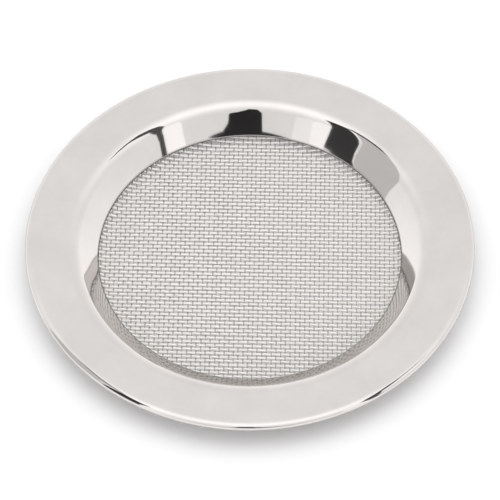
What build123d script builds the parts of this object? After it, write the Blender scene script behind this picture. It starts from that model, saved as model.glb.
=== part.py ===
from build123d import *
import os
from math import cos, radians, sin, tan

# Incense screen: a polished ring pressed from thin sheet, with a shallow dish, and a pan of
# plain-woven wire that closes the dish. The wire runs up behind the ring's wall and under its
# flange, and the ring's outer edge is rolled round the wire's cut edge and grips it.
# It lies on the floor of the pan. +Z is up, and the origin is under its centre, on the surface
# that it stands on. All sizes are in millimetres, and angles in degrees.

# Ring
outer_diameter = 70.0
total_height = 4.9
ring_sheet = 0.3
edge_thickness = 1.2
edge_depth = 0.7
hem_width = 2.6
flange_inner_radius = 28.6
shoulder_radius = 2.3
wall_angle = 40.0
dish_floor_radius = 23.6

# Wire pan: the woven cloth is pressed, so it is a little thinner than two wires
wire_diameter = 0.34
wire_pitch = 0.725
cloth_thickness = 0.6
pan_corner_radius = 2.6
floor_border = 0.9

# The weave is shown at a coarser pitch, with flat strands that cover the same share of it
strand_pitch = 3.75
strand_width = strand_pitch * wire_diameter / wire_pitch
strand_thickness = cloth_thickness / 2
strands_each_side = 5

outer_radius = outer_diameter / 2
edge_centre_radius = outer_radius - edge_depth
edge_centre_z = total_height - edge_thickness / 2
slope = radians(wall_angle)
half_turn = tan(slope / 2)


def flange_corner(depth):
    """Where the flange would meet the wall with no bend, at this depth under the ring's face."""
    face_corner_radius = flange_inner_radius - shoulder_radius * half_turn
    return Vector(face_corner_radius + depth * half_turn, total_height - depth)


def along_wall(length):
    """A step down the sloping wall, towards the axis."""
    return Vector(-length * cos(slope), -length * sin(slope))


# Ring: its face from the hem round the rolled edge to the foot, and back along its underside
with BuildPart() as rim_ring:
    with BuildSketch(Plane.XZ):
        with BuildLine():
            hem_end_radius = outer_radius - hem_width
            edge = EllipticalCenterArc(
                (edge_centre_radius, edge_centre_z),
                edge_depth,
                edge_thickness / 2,
                start_angle=-90,
                arc_size=180,
            )
            flange = Line(edge @ 1, (flange_inner_radius, total_height))
            shoulder = JernArc(flange @ 1, flange % 1, shoulder_radius, wall_angle)
            wall_length = ((shoulder @ 1).X - dish_floor_radius) / cos(slope)
            wall = Line(shoulder @ 1, shoulder @ 1 + along_wall(wall_length))
            foot = Vector(sin(slope), -cos(slope)) * ring_sheet
            Polyline(
                wall @ 1,
                wall @ 1 + foot,
                flange_corner(ring_sheet),
                (edge_centre_radius, total_height - ring_sheet),
                (edge_centre_radius, total_height - edge_thickness + ring_sheet),
                (hem_end_radius, total_height - edge_thickness + ring_sheet),
                (hem_end_radius, total_height - edge_thickness),
                edge @ 0,
            )
        make_face()
    revolve(axis=Axis.Z)

# Wall of the pan, drawn by its middle line: the rim in the rolled edge, the side behind the
# ring's wall, the corner as one flat facet, and the border of the floor
rim_depth = ring_sheet + cloth_thickness / 2
floor_z = cloth_thickness / 2
rim_corner = flange_corner(rim_depth)
floor_corner = rim_corner + along_wall((rim_corner.Y - floor_z) / sin(slope))
corner_cut = pan_corner_radius * half_turn
floor_radius = floor_corner.X - corner_cut
with BuildPart() as pan_wall:
    with BuildSketch(Plane.XZ):
        with BuildLine():
            Polyline(
                (edge_centre_radius, rim_corner.Y),
                rim_corner,
                floor_corner - along_wall(corner_cut),
                (floor_radius, floor_z),
                (floor_radius - floor_border, floor_z),
            )
        trace(line_width=cloth_thickness)
    revolve(axis=Axis.Z)


def strand_outline(phase):
    """A strand seen from its side: flat where it crosses another, and sloping in between."""
    top = []
    for crossing in range(-strands_each_side - 1, strands_each_side + 2):
        top_z = floor_z + (strand_thickness if (crossing + phase) % 2 == 0 else 0)
        for edge_x in (-strand_width / 2, strand_width / 2):
            top.append((crossing * strand_pitch + edge_x, top_z))
    bottom = [(x, z - strand_thickness) for x, z in reversed(top)]
    return top + bottom


# Floor of the pan: strands that go over and under each other both ways, cut to a disc
with BuildPart() as weave:
    for side_view, first_phase in ((Plane.XZ, 0), (Plane.YZ, 1)):
        for number in range(-strands_each_side, strands_each_side + 1):
            with BuildSketch(side_view.offset(number * strand_pitch)):
                with BuildLine():
                    Polyline(*strand_outline(number + first_phase), close=True)
                make_face()
        extrude(amount=strand_width / 2, both=True)
    with Locations((0, 0, floor_z)):
        Cylinder(floor_radius, cloth_thickness, mode=Mode.INTERSECT)

# Wire pan: the woven floor runs into the border of the wall
with BuildPart() as mesh_pan:
    add(pan_wall)
    add(weave)

os.makedirs("parts", exist_ok=True)
rim_ring.part.label = "rim_ring"
export_step(rim_ring.part, "parts/rim_ring.step")
mesh_pan.part.label = "mesh_pan"
export_step(mesh_pan.part, "parts/mesh_pan.step")
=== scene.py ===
from collections import namedtuple
from math import cos, hypot, pi, radians, sin, tan
import bpy
import numpy as np
from mathutils import Matrix, Vector


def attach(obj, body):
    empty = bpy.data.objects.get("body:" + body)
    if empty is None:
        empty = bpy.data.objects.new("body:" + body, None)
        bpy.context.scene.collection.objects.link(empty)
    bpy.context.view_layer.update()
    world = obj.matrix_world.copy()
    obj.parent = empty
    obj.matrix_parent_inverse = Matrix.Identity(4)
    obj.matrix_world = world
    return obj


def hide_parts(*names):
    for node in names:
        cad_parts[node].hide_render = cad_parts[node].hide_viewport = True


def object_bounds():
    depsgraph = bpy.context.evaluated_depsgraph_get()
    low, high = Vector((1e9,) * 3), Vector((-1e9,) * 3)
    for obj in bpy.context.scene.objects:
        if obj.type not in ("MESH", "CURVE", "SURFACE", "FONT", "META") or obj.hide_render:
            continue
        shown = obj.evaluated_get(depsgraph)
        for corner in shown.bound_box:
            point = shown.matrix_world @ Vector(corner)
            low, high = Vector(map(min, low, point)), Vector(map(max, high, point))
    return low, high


# The incense screen's looks: a finer skin for the pressed ring, and real woven wires for the
# pan, on a pale floor under soft studio light. Lengths are in metres, in the model's frame.

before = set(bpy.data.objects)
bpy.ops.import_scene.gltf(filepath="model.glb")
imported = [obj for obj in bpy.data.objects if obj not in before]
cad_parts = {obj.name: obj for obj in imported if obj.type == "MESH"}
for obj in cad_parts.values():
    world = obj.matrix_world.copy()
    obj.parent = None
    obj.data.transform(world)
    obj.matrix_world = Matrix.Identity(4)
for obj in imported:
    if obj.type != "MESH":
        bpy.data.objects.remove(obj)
cad_low, cad_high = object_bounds()
MM = 0.001

# Sizes of the object, as in the solids
OUTER_RADIUS = (cad_high.x - cad_low.x) / 2
TOTAL_HEIGHT = cad_high.z - cad_low.z
RING_SHEET = 0.3 * MM
EDGE_THICKNESS = 1.2 * MM
HEM_WIDTH = 2.6 * MM
FLANGE_INNER_RADIUS = 28.6 * MM
SHOULDER_RADIUS = 2.3 * MM
WALL_SLOPE = radians(40)
DISH_FLOOR_RADIUS = 23.6 * MM
CLOTH_THICKNESS = 0.6 * MM
PAN_CORNER_RADIUS = 2.6 * MM

# The ring's skin, closer to the photo than the solid: a deeper roll, a softer bend into the wall,
# and a wall that gets a little steeper towards its foot, with a dark line of painted shade along the foot
EDGE_DEPTH = 1.1 * MM
FLANGE_OUTER_RADIUS = OUTER_RADIUS - EDGE_DEPTH
FACE_SHOULDER_RADIUS = 3.3 * MM
WALL_TOP_SLOPE = radians(41)
WALL_FOOT_SLOPE = radians(44)
FOOT_SHADE_WIDTH = 0.3 * MM
FLANGE_STEPS = 10
SHOULDER_STEPS = 30
WALL_STEPS = 16
ROLL_STEPS = 24
STEPS_ROUND_RING = 360

# A little play between the ring and the wires, so that they don't touch
WIRE_CLEARANCE = 0.01 * MM

# The weave: long wires run from front to back and bend over and under the cross wires, which run
# from side to side and stay nearly straight. Crimp is how far a wire swings to each side of the
# cloth's middle, lean turns it away from the axis, and phase says which wires start on top.
Wires = namedtuple("Wires", "diameter crimp pitch crossed_pitch lean phase")
LONG_PITCH = 0.727 * MM
CROSS_PITCH = 0.722 * MM
LONG = Wires(0.20 * MM, 0.19 * MM, LONG_PITCH, CROSS_PITCH, radians(1.3), 0)
CROSS = Wires(0.40 * MM, 0.06 * MM, CROSS_PITCH, LONG_PITCH, radians(-1.9), 1)
WIRES_EACH_WAY = 48
STEPS_PER_PITCH = 4
WIRE_SIDES = 6

# How far the wires are from a perfect weave: off their places, and swaying in two waves
PLACE_ERROR = 0.012 * MM
SWAY_WIDTH = 0.02 * MM
SHORT_SWAY = 7 * MM
LONG_SWAY = 11 * MM

# How far apart two wires lie in the wire's texture, in pitches, so that no two look the same
TEXTURE_GAP = 100

# Camera: it looks down at the screen from the front. It aims at a point above the middle of the
# pan, moved by a few of the image's pixels.
CAMERA_ELEVATION = radians(53.44)
CAMERA_DISTANCE = 735 * MM
CAMERA_ROLL = radians(0.3)
FOCAL_PIXELS = 4702
IMAGE_PIXELS = 500
SENSOR_WIDTH_MM = 36
CLIP_START = 0.05
CLIP_END = 20
AIM_HEIGHT = 1.15 * MM
AIM_RIGHT_PIXELS = 0.24
AIM_UP_PIXELS = 6.75


def add_object(name, data):
    made = bpy.data.objects.new(name, data)
    bpy.context.scene.collection.objects.link(made)
    return made


def mesh_object(name, vertices, faces, smooth=True):
    """An object with this mesh, whose faces all have the same number of corners."""
    mesh = bpy.data.meshes.new(name)
    faces = np.asarray(faces, np.int32)
    mesh.vertices.add(len(vertices))
    mesh.vertices.foreach_set("co", np.asarray(vertices, np.float32).ravel())
    mesh.loops.add(faces.size)
    mesh.loops.foreach_set("vertex_index", faces.ravel())
    mesh.polygons.add(len(faces))
    mesh.polygons.foreach_set("loop_start", np.arange(0, faces.size, faces.shape[1], dtype=np.int32))
    mesh.polygons.foreach_set("use_smooth", np.full(len(faces), smooth))
    mesh.update(calc_edges=True)
    mesh.validate()
    return add_object(name, mesh)


def make_camera():
    camera = add_object("camera", bpy.data.cameras.new("camera"))
    camera.data.sensor_width = SENSOR_WIDTH_MM
    camera.data.lens = SENSOR_WIDTH_MM * FOCAL_PIXELS / IMAGE_PIXELS
    camera.data.clip_start = CLIP_START
    camera.data.clip_end = CLIP_END
    look = Vector((0, cos(CAMERA_ELEVATION), -sin(CAMERA_ELEVATION)))
    up = Vector((0, sin(CAMERA_ELEVATION), cos(CAMERA_ELEVATION)))
    right = Vector((1, 0, 0))
    pixel = CAMERA_DISTANCE / FOCAL_PIXELS
    aim = Vector((0, 0, AIM_HEIGHT)) + up * AIM_UP_PIXELS * pixel + right * AIM_RIGHT_PIXELS * pixel
    turn = Matrix.Rotation(CAMERA_ROLL, 3, look)
    axes = Matrix((turn @ right, turn @ up, -look)).transposed()
    camera.matrix_world = Matrix.Translation(aim - look * CAMERA_DISTANCE) @ axes.to_4x4()
    bpy.context.scene.camera = camera


# Ring


def ring_face(depth):
    """The flange, shoulder and wall, as (r, z) points at this depth under the ring's face."""
    wall_run = FLANGE_INNER_RADIUS - FACE_SHOULDER_RADIUS * sin(WALL_TOP_SLOPE) - DISH_FLOOR_RADIUS
    wall_length = wall_run / cos((WALL_TOP_SLOPE + WALL_FOOT_SLOPE) / 2)
    # Each stretch has its length, its slopes at the start and the end, and its number of steps
    stretches = (
        (FLANGE_OUTER_RADIUS - FLANGE_INNER_RADIUS, 0, 0, FLANGE_STEPS),
        (FACE_SHOULDER_RADIUS * WALL_TOP_SLOPE, 0, WALL_TOP_SLOPE, SHOULDER_STEPS),
        (wall_length, WALL_TOP_SLOPE, WALL_FOOT_SLOPE, WALL_STEPS),
    )
    r, z = FLANGE_OUTER_RADIUS, TOTAL_HEIGHT
    points = []
    for length, start, stop, steps in stretches:
        step = length / steps
        for number in range(steps):
            slope = start + (stop - start) * (number + 0.5) / steps
            r -= step * cos(slope)
            z -= step * sin(slope)
            end_slope = start + (stop - start) * (number + 1) / steps
            points.append((r + depth * sin(end_slope), z - depth * cos(end_slope)))
    return points


def rolled_edge(depth):
    """The outer edge, from the hem round to the flange, at this depth under the ring's face."""
    across = EDGE_DEPTH - depth
    half_up = EDGE_THICKNESS / 2 - depth
    centre_z = TOTAL_HEIGHT - EDGE_THICKNESS / 2
    hem_end = (OUTER_RADIUS - HEM_WIDTH, centre_z - half_up)
    angles = np.linspace(-pi / 2, pi / 2, ROLL_STEPS + 1)
    out = FLANGE_OUTER_RADIUS + across * np.cos(angles)
    up = centre_z + half_up * np.sin(angles)
    return [hem_end] + list(zip(out, up))


def revolve(name, outline):
    """A closed outline of (r, z) points turned about the vertical axis."""
    count = len(outline)
    r, z = np.array(outline).T
    angles = np.arange(STEPS_ROUND_RING) * 2 * pi / STEPS_ROUND_RING
    x = np.outer(np.cos(angles), r)
    y = np.outer(np.sin(angles), r)
    vertices = np.stack([x, y, np.broadcast_to(z, x.shape)], -1).reshape(-1, 3)
    turn, point = np.meshgrid(np.arange(STEPS_ROUND_RING), np.arange(count), indexing="ij")
    here = turn * count
    next_turn = (turn + 1) % STEPS_ROUND_RING * count
    next_point = (point + 1) % count
    corners = [here + point, next_turn + point, next_turn + next_point, here + next_point]
    return mesh_object(name, vertices, np.stack(corners, -1).reshape(-1, 4))


# Wire cloth


def cloth_height(radius):
    """Height of the middle of the cloth at this distance from the axis.

    The cloth is flat as the floor, bends up at the corner, rises as the side, and bends flat again
    at the top into the rim under the flange.
    """
    floor_z = CLOTH_THICKNESS / 2
    rim_depth = RING_SHEET + WIRE_CLEARANCE + CLOTH_THICKNESS / 2
    rim_z = TOTAL_HEIGHT - rim_depth
    top_radius = SHOULDER_RADIUS - rim_depth
    half_turn = tan(WALL_SLOPE / 2)
    # Where the side would meet the rim and the floor with no bends
    rim_meet = FLANGE_INNER_RADIUS - top_radius * half_turn
    floor_meet = rim_meet - (rim_z - floor_z) / tan(WALL_SLOPE)
    corner_start = floor_meet - PAN_CORNER_RADIUS * half_turn
    corner_end = corner_start + PAN_CORNER_RADIUS * sin(WALL_SLOPE)
    top_start = FLANGE_INNER_RADIUS - top_radius * sin(WALL_SLOPE)
    past_start = np.clip(radius, corner_start, corner_end) - corner_start
    corner = floor_z + PAN_CORNER_RADIUS - np.sqrt(PAN_CORNER_RADIUS**2 - past_start**2)
    side = floor_z + (radius - floor_meet) * tan(WALL_SLOPE)
    before_end = FLANGE_INNER_RADIUS - np.clip(radius, top_start, FLANGE_INNER_RADIUS)
    top = rim_z - top_radius + np.sqrt(top_radius**2 - before_end**2)
    height = np.where(radius < corner_end, corner, side)
    return np.where(radius > top_start, top, height)


def cloth_normal(x, y):
    """Upward normals of the cloth at these places."""
    radius = np.hypot(x, y)
    step = 0.01 * MM
    rise = (cloth_height(radius + step) - cloth_height(np.maximum(radius - step, 0))) / (2 * step)
    out = np.maximum(radius, step)
    normal = np.stack([-rise * x / out, -rise * y / out, np.ones_like(x)], -1)
    return normal / np.linalg.norm(normal, axis=-1, keepdims=True)


def wire_line(wires, number, offset, sway):
    """Points along one wire's middle, from edge to edge of the cloth, and the cloth's normals there."""
    across, along = sin(wires.lean), cos(wires.lean)
    if wires is CROSS:
        way, side = (along, across), (-across, along)
    else:
        way, side = (across, along), (along, -across)
    step = wires.crossed_pitch / STEPS_PER_PITCH
    half_length = np.sqrt(FLANGE_OUTER_RADIUS**2 - offset**2)
    steps_each_way = int(half_length / step)
    steps = np.arange(-steps_each_way, steps_each_way + 1)
    place = steps * step
    drift = sway[0] * np.sin(place / SHORT_SWAY + number) + sway[1] * np.cos(place / LONG_SWAY + 2 * number)
    x, y = (np.outer(place, way) + np.outer(offset + drift, side)).T
    normal = cloth_normal(x, y)
    weave = wires.crimp * np.cos(pi * (steps / STEPS_PER_PITCH + number + wires.phase))
    middle = np.stack([x, y, cloth_height(np.hypot(x, y))], -1)
    return middle + normal * weave[:, None], normal


def wire_skin(points, normal, radius):
    """Rings of points round a wire."""
    along = np.gradient(points, axis=0)
    along /= np.linalg.norm(along, axis=1, keepdims=True)
    up = normal - along * np.sum(normal * along, 1, keepdims=True)
    up /= np.linalg.norm(up, axis=1, keepdims=True)
    side = np.cross(along, up)
    turn = np.arange(WIRE_SIDES) * 2 * pi / WIRE_SIDES
    spokes = up[:, None] * np.cos(turn)[None, :, None] + side[:, None] * np.sin(turn)[None, :, None]
    return points[:, None] + radius * spokes


def woven_wires(name, wires, numbers, seed):
    """Parallel wires of the cloth in one piece, each a little off its place and not quite straight.

    Their texture runs round each wire from 0 to 1, and along it by 1 for each wire that it crosses.
    """
    rng = np.random.default_rng(seed)
    vertices, faces, spread = [], [], []
    total = 0
    for number in numbers:
        offset = number * wires.pitch + rng.normal(0, PLACE_ERROR)
        sway = rng.normal(0, SWAY_WIDTH, 2)
        # A wire this far out would lie wholly inside the rolled edge, out of sight
        if abs(offset) > OUTER_RADIUS - 2 * EDGE_DEPTH:
            continue
        points, normal = wire_line(wires, number, offset, sway)
        skin = wire_skin(points, normal, wires.diameter / 2)
        ring, spoke = np.meshgrid(np.arange(len(points) - 1), np.arange(WIRE_SIDES), indexing="ij")
        near = total + ring * WIRE_SIDES
        far = near + WIRE_SIDES
        next_spoke = (spoke + 1) % WIRE_SIDES
        corners = [near + spoke, near + next_spoke, far + next_spoke, far + spoke]
        faces.append(np.stack(corners, -1).reshape(-1, 4))
        around = np.stack([spoke, spoke + 1, spoke + 1, spoke], -1) / WIRE_SIDES
        along = np.stack([ring, ring, ring + 1, ring + 1], -1) / STEPS_PER_PITCH + TEXTURE_GAP * number
        spread.append(np.stack([around, along], -1).reshape(-1, 2))
        vertices.append(skin.reshape(-1, 3))
        total += skin.shape[0] * WIRE_SIDES
    piece = mesh_object(name, np.concatenate(vertices), np.concatenate(faces))
    layer = piece.data.uv_layers.new(name="round_and_along")
    layer.data.foreach_set("uv", np.concatenate(spread).astype(np.float32).ravel())
    return piece


# Materials

# Noise textures stay mostly between these values, so colours are spread between them
NOISE_LOW = 0.3
NOISE_HIGH = 0.7

# Colours of the polish, and its tint where it is seen at a flat angle. At the foot of the wall
# only a share of its brightness is left: a thin line of painted shade where the wall meets the wires.
POLISH_DARK = (0.664, 0.636, 0.622, 1)
POLISH_LIGHT = (0.715, 0.686, 0.672, 1)
POLISH_TINT = (0.66, 0.65, 0.64, 1)
FOOT_SHADE_BRIGHTNESS = 0.25
POLISH_ROUGHNESS = (0.02, 0.07)
POLISH_RELIEF = 0.04 * MM

# The wires are a little warmer than grey, and darker where they are seen at a flat angle. Their
# roughness varies by a share of itself.
WIRE_HUE = (1, 0.985, 0.97)
WIRE_TINT = (0.8, 0.8, 0.8, 1)
WIRE_ROUGHNESS_SPREAD = 0.2
WIRE_RELIEF = 0.004 * MM


def new_material(name):
    made = bpy.data.materials.new(name)
    made.use_nodes = True
    made.node_tree.nodes.clear()
    return made


def add_node(tree, kind, settings=(), **inputs):
    """A node with these settings. An input is a plain value, or another node's output."""
    made = tree.nodes.new("ShaderNode" + kind)
    for key, value in dict(settings).items():
        setattr(made, key, value)
    for key, value in inputs.items():
        socket = made.inputs[int(key[1:])] if key[1:].isdigit() else made.inputs[key.replace("_", " ")]
        if isinstance(value, bpy.types.NodeSocket):
            tree.links.new(value, socket)
        else:
            socket.default_value = value
    return made


def calculate(tree, operation, first, second=0.0):
    return add_node(tree, "Math", {"operation": operation}, _0=first, _1=second).outputs[0]


def span(tree, value, low, high):
    """Maps a value from 0..1 to low..high."""
    return add_node(tree, "MapRange", Value=value, To_Min=low, To_Max=high).outputs[0]


def colour_range(tree, noise, dark, light):
    """Spreads a noise texture over two colours."""
    made = add_node(tree, "ValToRGB", Fac=noise)
    first, last = made.color_ramp.elements
    first.position = NOISE_LOW
    first.color = dark
    last.position = NOISE_HIGH
    last.color = light
    return made.outputs["Color"]


def finish_surface(tree, shader):
    output = add_node(tree, "OutputMaterial")
    tree.links.new(shader.outputs[0], output.inputs["Surface"])


def finish_metal(tree, colour, roughness, tint, relief, relief_height):
    """Ends a material as bare metal with a fine relief."""
    bump = add_node(tree, "Bump", Strength=1, Distance=relief_height, Height=relief)
    surface = add_node(
        tree, "BsdfPrincipled", Base_Color=colour, Metallic=1, Roughness=roughness,
        Specular_Tint=tint, Normal=bump.outputs["Normal"],
    )
    finish_surface(tree, surface)


def painted_foot_shade(tree, place, colour):
    """The colour, darkened to a line of painted shade along the foot of the wall."""
    # Painted shade: the colour darkens in a thin line where the wall's foot meets the wires.
    level = add_node(tree, "Mapping", Vector=place, Scale=(1, 1, 0)).outputs["Vector"]
    radius = add_node(tree, "VectorMath", {"operation": "LENGTH"}, Vector=level).outputs["Value"]
    fade = add_node(
        tree, "MapRange", Value=radius, From_Min=DISH_FLOOR_RADIUS,
        From_Max=DISH_FLOOR_RADIUS + FOOT_SHADE_WIDTH, To_Min=FOOT_SHADE_BRIGHTNESS, To_Max=1,
    )
    foot_shaded = add_node(tree, "VectorMath", {"operation": "SCALE"}, Vector=colour, Scale=fade.outputs[0])
    return foot_shaded.outputs["Vector"]


def polished_sheet():
    """Mirror-polished stainless sheet.

    It has faint wipe marks, the slight waviness of pressed metal, and a dark line of painted
    shade along the foot of the wall.
    """
    made = new_material("polished_sheet")
    tree = made.node_tree
    place = add_node(tree, "TexCoord").outputs["Object"]
    smudge = add_node(tree, "TexNoise", Vector=place, Scale=140, Detail=4, Roughness=0.6).outputs["Fac"]
    wave = add_node(tree, "TexNoise", Vector=place, Scale=120, Detail=1).outputs["Fac"]
    # The polish colour, with painted shade in a dark line along the wall's foot
    colour = painted_foot_shade(tree, place, colour_range(tree, smudge, POLISH_DARK, POLISH_LIGHT))
    roughness = span(tree, smudge, *POLISH_ROUGHNESS)
    finish_metal(tree, colour, roughness, POLISH_TINT, wave, POLISH_RELIEF)
    return made


def grey(tone):
    return (tone, tone, tone, 1)


def wire_colour(tone):
    red, green, blue = WIRE_HUE
    return (tone * red, tone * green, tone * blue, 1)


def drawn_wire(name, dark, light, roughness):
    """Drawn stainless wire: fine die lines along it, and spots where it is more or less bright."""
    made = new_material(name)
    tree = made.node_tree
    spread = add_node(tree, "UVMap", {"uv_map": "round_and_along"}).outputs["UV"]
    fine = add_node(tree, "Mapping", Vector=spread, Scale=(40, 0.4, 1)).outputs["Vector"]
    line = add_node(tree, "TexNoise", Vector=fine, Scale=1, Detail=2).outputs["Fac"]
    coarse = add_node(tree, "Mapping", Vector=spread, Scale=(2, 1.5, 1)).outputs["Vector"]
    spot = add_node(tree, "TexNoise", Vector=coarse, Scale=1, Detail=2).outputs["Fac"]
    colour = colour_range(tree, spot, wire_colour(dark), wire_colour(light))
    least = roughness * (1 - WIRE_ROUGHNESS_SPREAD)
    most = roughness * (1 + WIRE_ROUGHNESS_SPREAD)
    uneven = span(tree, spot, least, most)
    finish_metal(tree, colour, uneven, WIRE_TINT, line, WIRE_RELIEF)
    return made


def dress(piece, material, node):
    """Finishes a piece that stands for one of the model's nodes."""
    piece.data.materials.clear()
    piece.data.materials.append(material)
    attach(piece, "root")
    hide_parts(node)


def make_ring():
    face = rolled_edge(0) + ring_face(0)
    underside = rolled_edge(RING_SHEET) + ring_face(RING_SHEET)
    ring = revolve("pressed_ring", face + underside[::-1])
    dress(ring, polished_sheet(), "rim_ring")


def make_wires():
    # Both sets are the same steel. The long wires get a dark colour as painted shade, and the cross wires a
    # near-white one as painted highlight.
    long_wire = drawn_wire("long_wire", dark=0.5, light=0.6, roughness=0.35)
    cross_wire = drawn_wire("cross_wire", dark=0.97, light=1.0, roughness=0.8)
    low_half = range(-WIRES_EACH_WAY, 0)
    high_half = range(0, WIRES_EACH_WAY + 1)
    pieces = (
        ("long_wires_left", LONG, low_half, 1, long_wire),
        ("long_wires_right", LONG, high_half, 2, long_wire),
        ("cross_wires_front", CROSS, low_half, 3, cross_wire),
        ("cross_wires_back", CROSS, high_half, 4, cross_wire),
    )
    for name, wires, numbers, seed, material in pieces:
        dress(woven_wires(name, wires, numbers, seed), material, "mesh_pan")


# Studio

# The surround's strength: an even part, a glow overhead that lies a little towards the back, and
# a haze near the horizon. The glow's place and reach are measured on a unit direction.
EVEN_STRENGTH = 0.93
GLOW_STRENGTH = 0.55
GLOW_BACK = 0.035
GLOW_REACH_ACROSS = 0.62
GLOW_REACH_DEEP = 0.4
HAZE_STRENGTH = 0.42

FLOOR_HALF_WIDTH = 1.5
FLOOR_TONE = 0.92

# Places round the set are given by how far they lean from straight up, in degrees to the right
# and to the camera's side
TOP_LIGHT_LEAN = (0, -4)
TOP_LIGHT_DISTANCE = 1.5
TOP_LIGHT_WIDTH = 1.2
TOP_LIGHT_WATTS = 2.2

# Cards: dark and bright shapes that only reflections show. Each has a name, a tone, where 1 is
# white, and its corners.
CARD_DISTANCE = 2
CARDS = (
    ("camera", 0.03, (
        (0, 25), (-3, 28), (-5, 40), (-6.5, 44), (-7.5, 47.5), (-17, 46.5), (-24, 45), (-13, 49.3),
        (0, 50.8), (13, 49.3), (24, 44.7), (15, 46), (11, 44.5), (10, 42.5), (5, 40), (1, 31),
    )),
    ("right_strap", 0.1, (
        (50, 33), (44, 30.5), (41.5, 29), (26.5, 11.5), (21.5, 1), (19, -7), (17, -13.5), (22, -16),
        (27, -16.5), (24, -10), (26, -3), (28, 4), (43.5, 26), (45, 27.8), (52, 30),
    )),
    ("left_flag", 0.05, (
        (-19, 4), (-38.7, 30.6), (-40.2, 32.9), (-41.3, 34.5), (-45, 32), (-52, 27), (-60.5, 16),
        (-55, 20.2), (-53, 20.2), (-46.5, 15.5), (-32, 3.6), (-20, -5),
    )),
    ("left_strap", 0.15, ((-20, -5), (-17.5, -10), (-17.5, -19), (-22, -19), (-24, -12), (-23, -6))),
    ("left_wall", 0.7, (
        (-24, -4), (-33, 2.5), (-48, 14.5), (-54, 19.2), (-56, 19.2), (-62, 14), (-70, 14), (-78, -14),
        (-71.3, -12.9), (-70, -9.4), (-67, -8.3), (-49, -12), (-27, -18), (-23, -18), (-24.5, -12),
    )),
    ("left_glow", 1.3, (
        (-31, 36), (-36, 41), (-44, 37), (-41.3, 34.7), (-38.5, 30.8), (-32, 22), (-28, 26),
    )),
    ("left_gleam", 1.15, ((-22, 36), (-24.5, 46), (-28, 46), (-36, 41), (-31, 36), (-27, 28))),
    ("right_glow", 1.35, ((31, 33), (37, 40), (49, 35), (44, 31), (41.3, 29.6), (30, 17), (26, 21))),
)


def leaning(right, front):
    """Unit vector that leans this many degrees from straight up, which aren't both 0."""
    lean = hypot(right, front)
    across = sin(radians(lean)) / lean
    return Vector((right * across, -front * across, cos(radians(lean))))


def make_card(name, tone, corners):
    points = [leaning(*corner) * CARD_DISTANCE for corner in corners]
    card = mesh_object(name, points, [range(len(points))], smooth=False)
    material = new_material(name)
    shader = add_node(material.node_tree, "Emission", Color=grey(tone))
    finish_surface(material.node_tree, shader)
    card.data.materials.append(material)
    card.visible_camera = False
    card.visible_diffuse = False
    card.visible_shadow = False


def make_floor():
    half = FLOOR_HALF_WIDTH
    corners = [(-half, -half, 0), (half, -half, 0), (half, half, 0), (-half, half, 0)]
    floor = mesh_object("floor", corners, [range(4)], smooth=False)
    material = new_material("pale_floor")
    shader = add_node(material.node_tree, "BsdfDiffuse", Color=grey(FLOOR_TONE))
    finish_surface(material.node_tree, shader)
    floor.data.materials.append(material)


def make_world():
    """A white surround with a wide soft glow overhead, a little brighter again near the horizon."""
    world = bpy.data.worlds.new("studio")
    world.use_nodes = True
    tree = world.node_tree
    direction = add_node(tree, "TexCoord").outputs["Generated"]
    x, y, z = add_node(tree, "SeparateXYZ", Vector=direction).outputs
    wide = calculate(tree, "POWER", calculate(tree, "DIVIDE", x, GLOW_REACH_ACROSS), 4)
    back = calculate(tree, "SUBTRACT", y, GLOW_BACK)
    deep = calculate(tree, "POWER", calculate(tree, "DIVIDE", back, GLOW_REACH_DEEP), 2)
    fade = calculate(tree, "MULTIPLY", calculate(tree, "ADD", wide, deep), -1)
    glow = calculate(tree, "MULTIPLY", calculate(tree, "EXPONENT", fade), GLOW_STRENGTH)
    above = calculate(tree, "MAXIMUM", z, 0)
    low = calculate(tree, "POWER", calculate(tree, "SUBTRACT", 1, above), 2)
    haze = calculate(tree, "MULTIPLY", low, HAZE_STRENGTH)
    light = calculate(tree, "ADD", calculate(tree, "ADD", glow, haze), EVEN_STRENGTH)
    background = tree.nodes["Background"]
    background.inputs["Color"].default_value = (1, 1, 1, 1)
    tree.links.new(light, background.inputs["Strength"])
    bpy.context.scene.world = world


def make_top_light():
    """A soft panel overhead that only the floor answers to: it keeps the ground white."""
    data = bpy.data.lights.new("top_light", "AREA")
    data.shape = "DISK"
    data.size = TOP_LIGHT_WIDTH
    data.energy = TOP_LIGHT_WATTS
    light = add_object("top_light", data)
    direction = leaning(*TOP_LIGHT_LEAN)
    turn = direction.to_track_quat("Z", "Y").to_matrix().to_4x4()
    light.matrix_world = Matrix.Translation(direction * TOP_LIGHT_DISTANCE) @ turn
    light.visible_glossy = False


def make_studio():
    make_world()
    make_top_light()
    make_floor()
    for card in CARDS:
        make_card(*card)
    view = bpy.context.scene.view_settings
    view.view_transform = "Standard"
    view.look = "None"
    view.exposure = 0
    view.gamma = 1


make_camera()
make_ring()
make_wires()
make_studio()
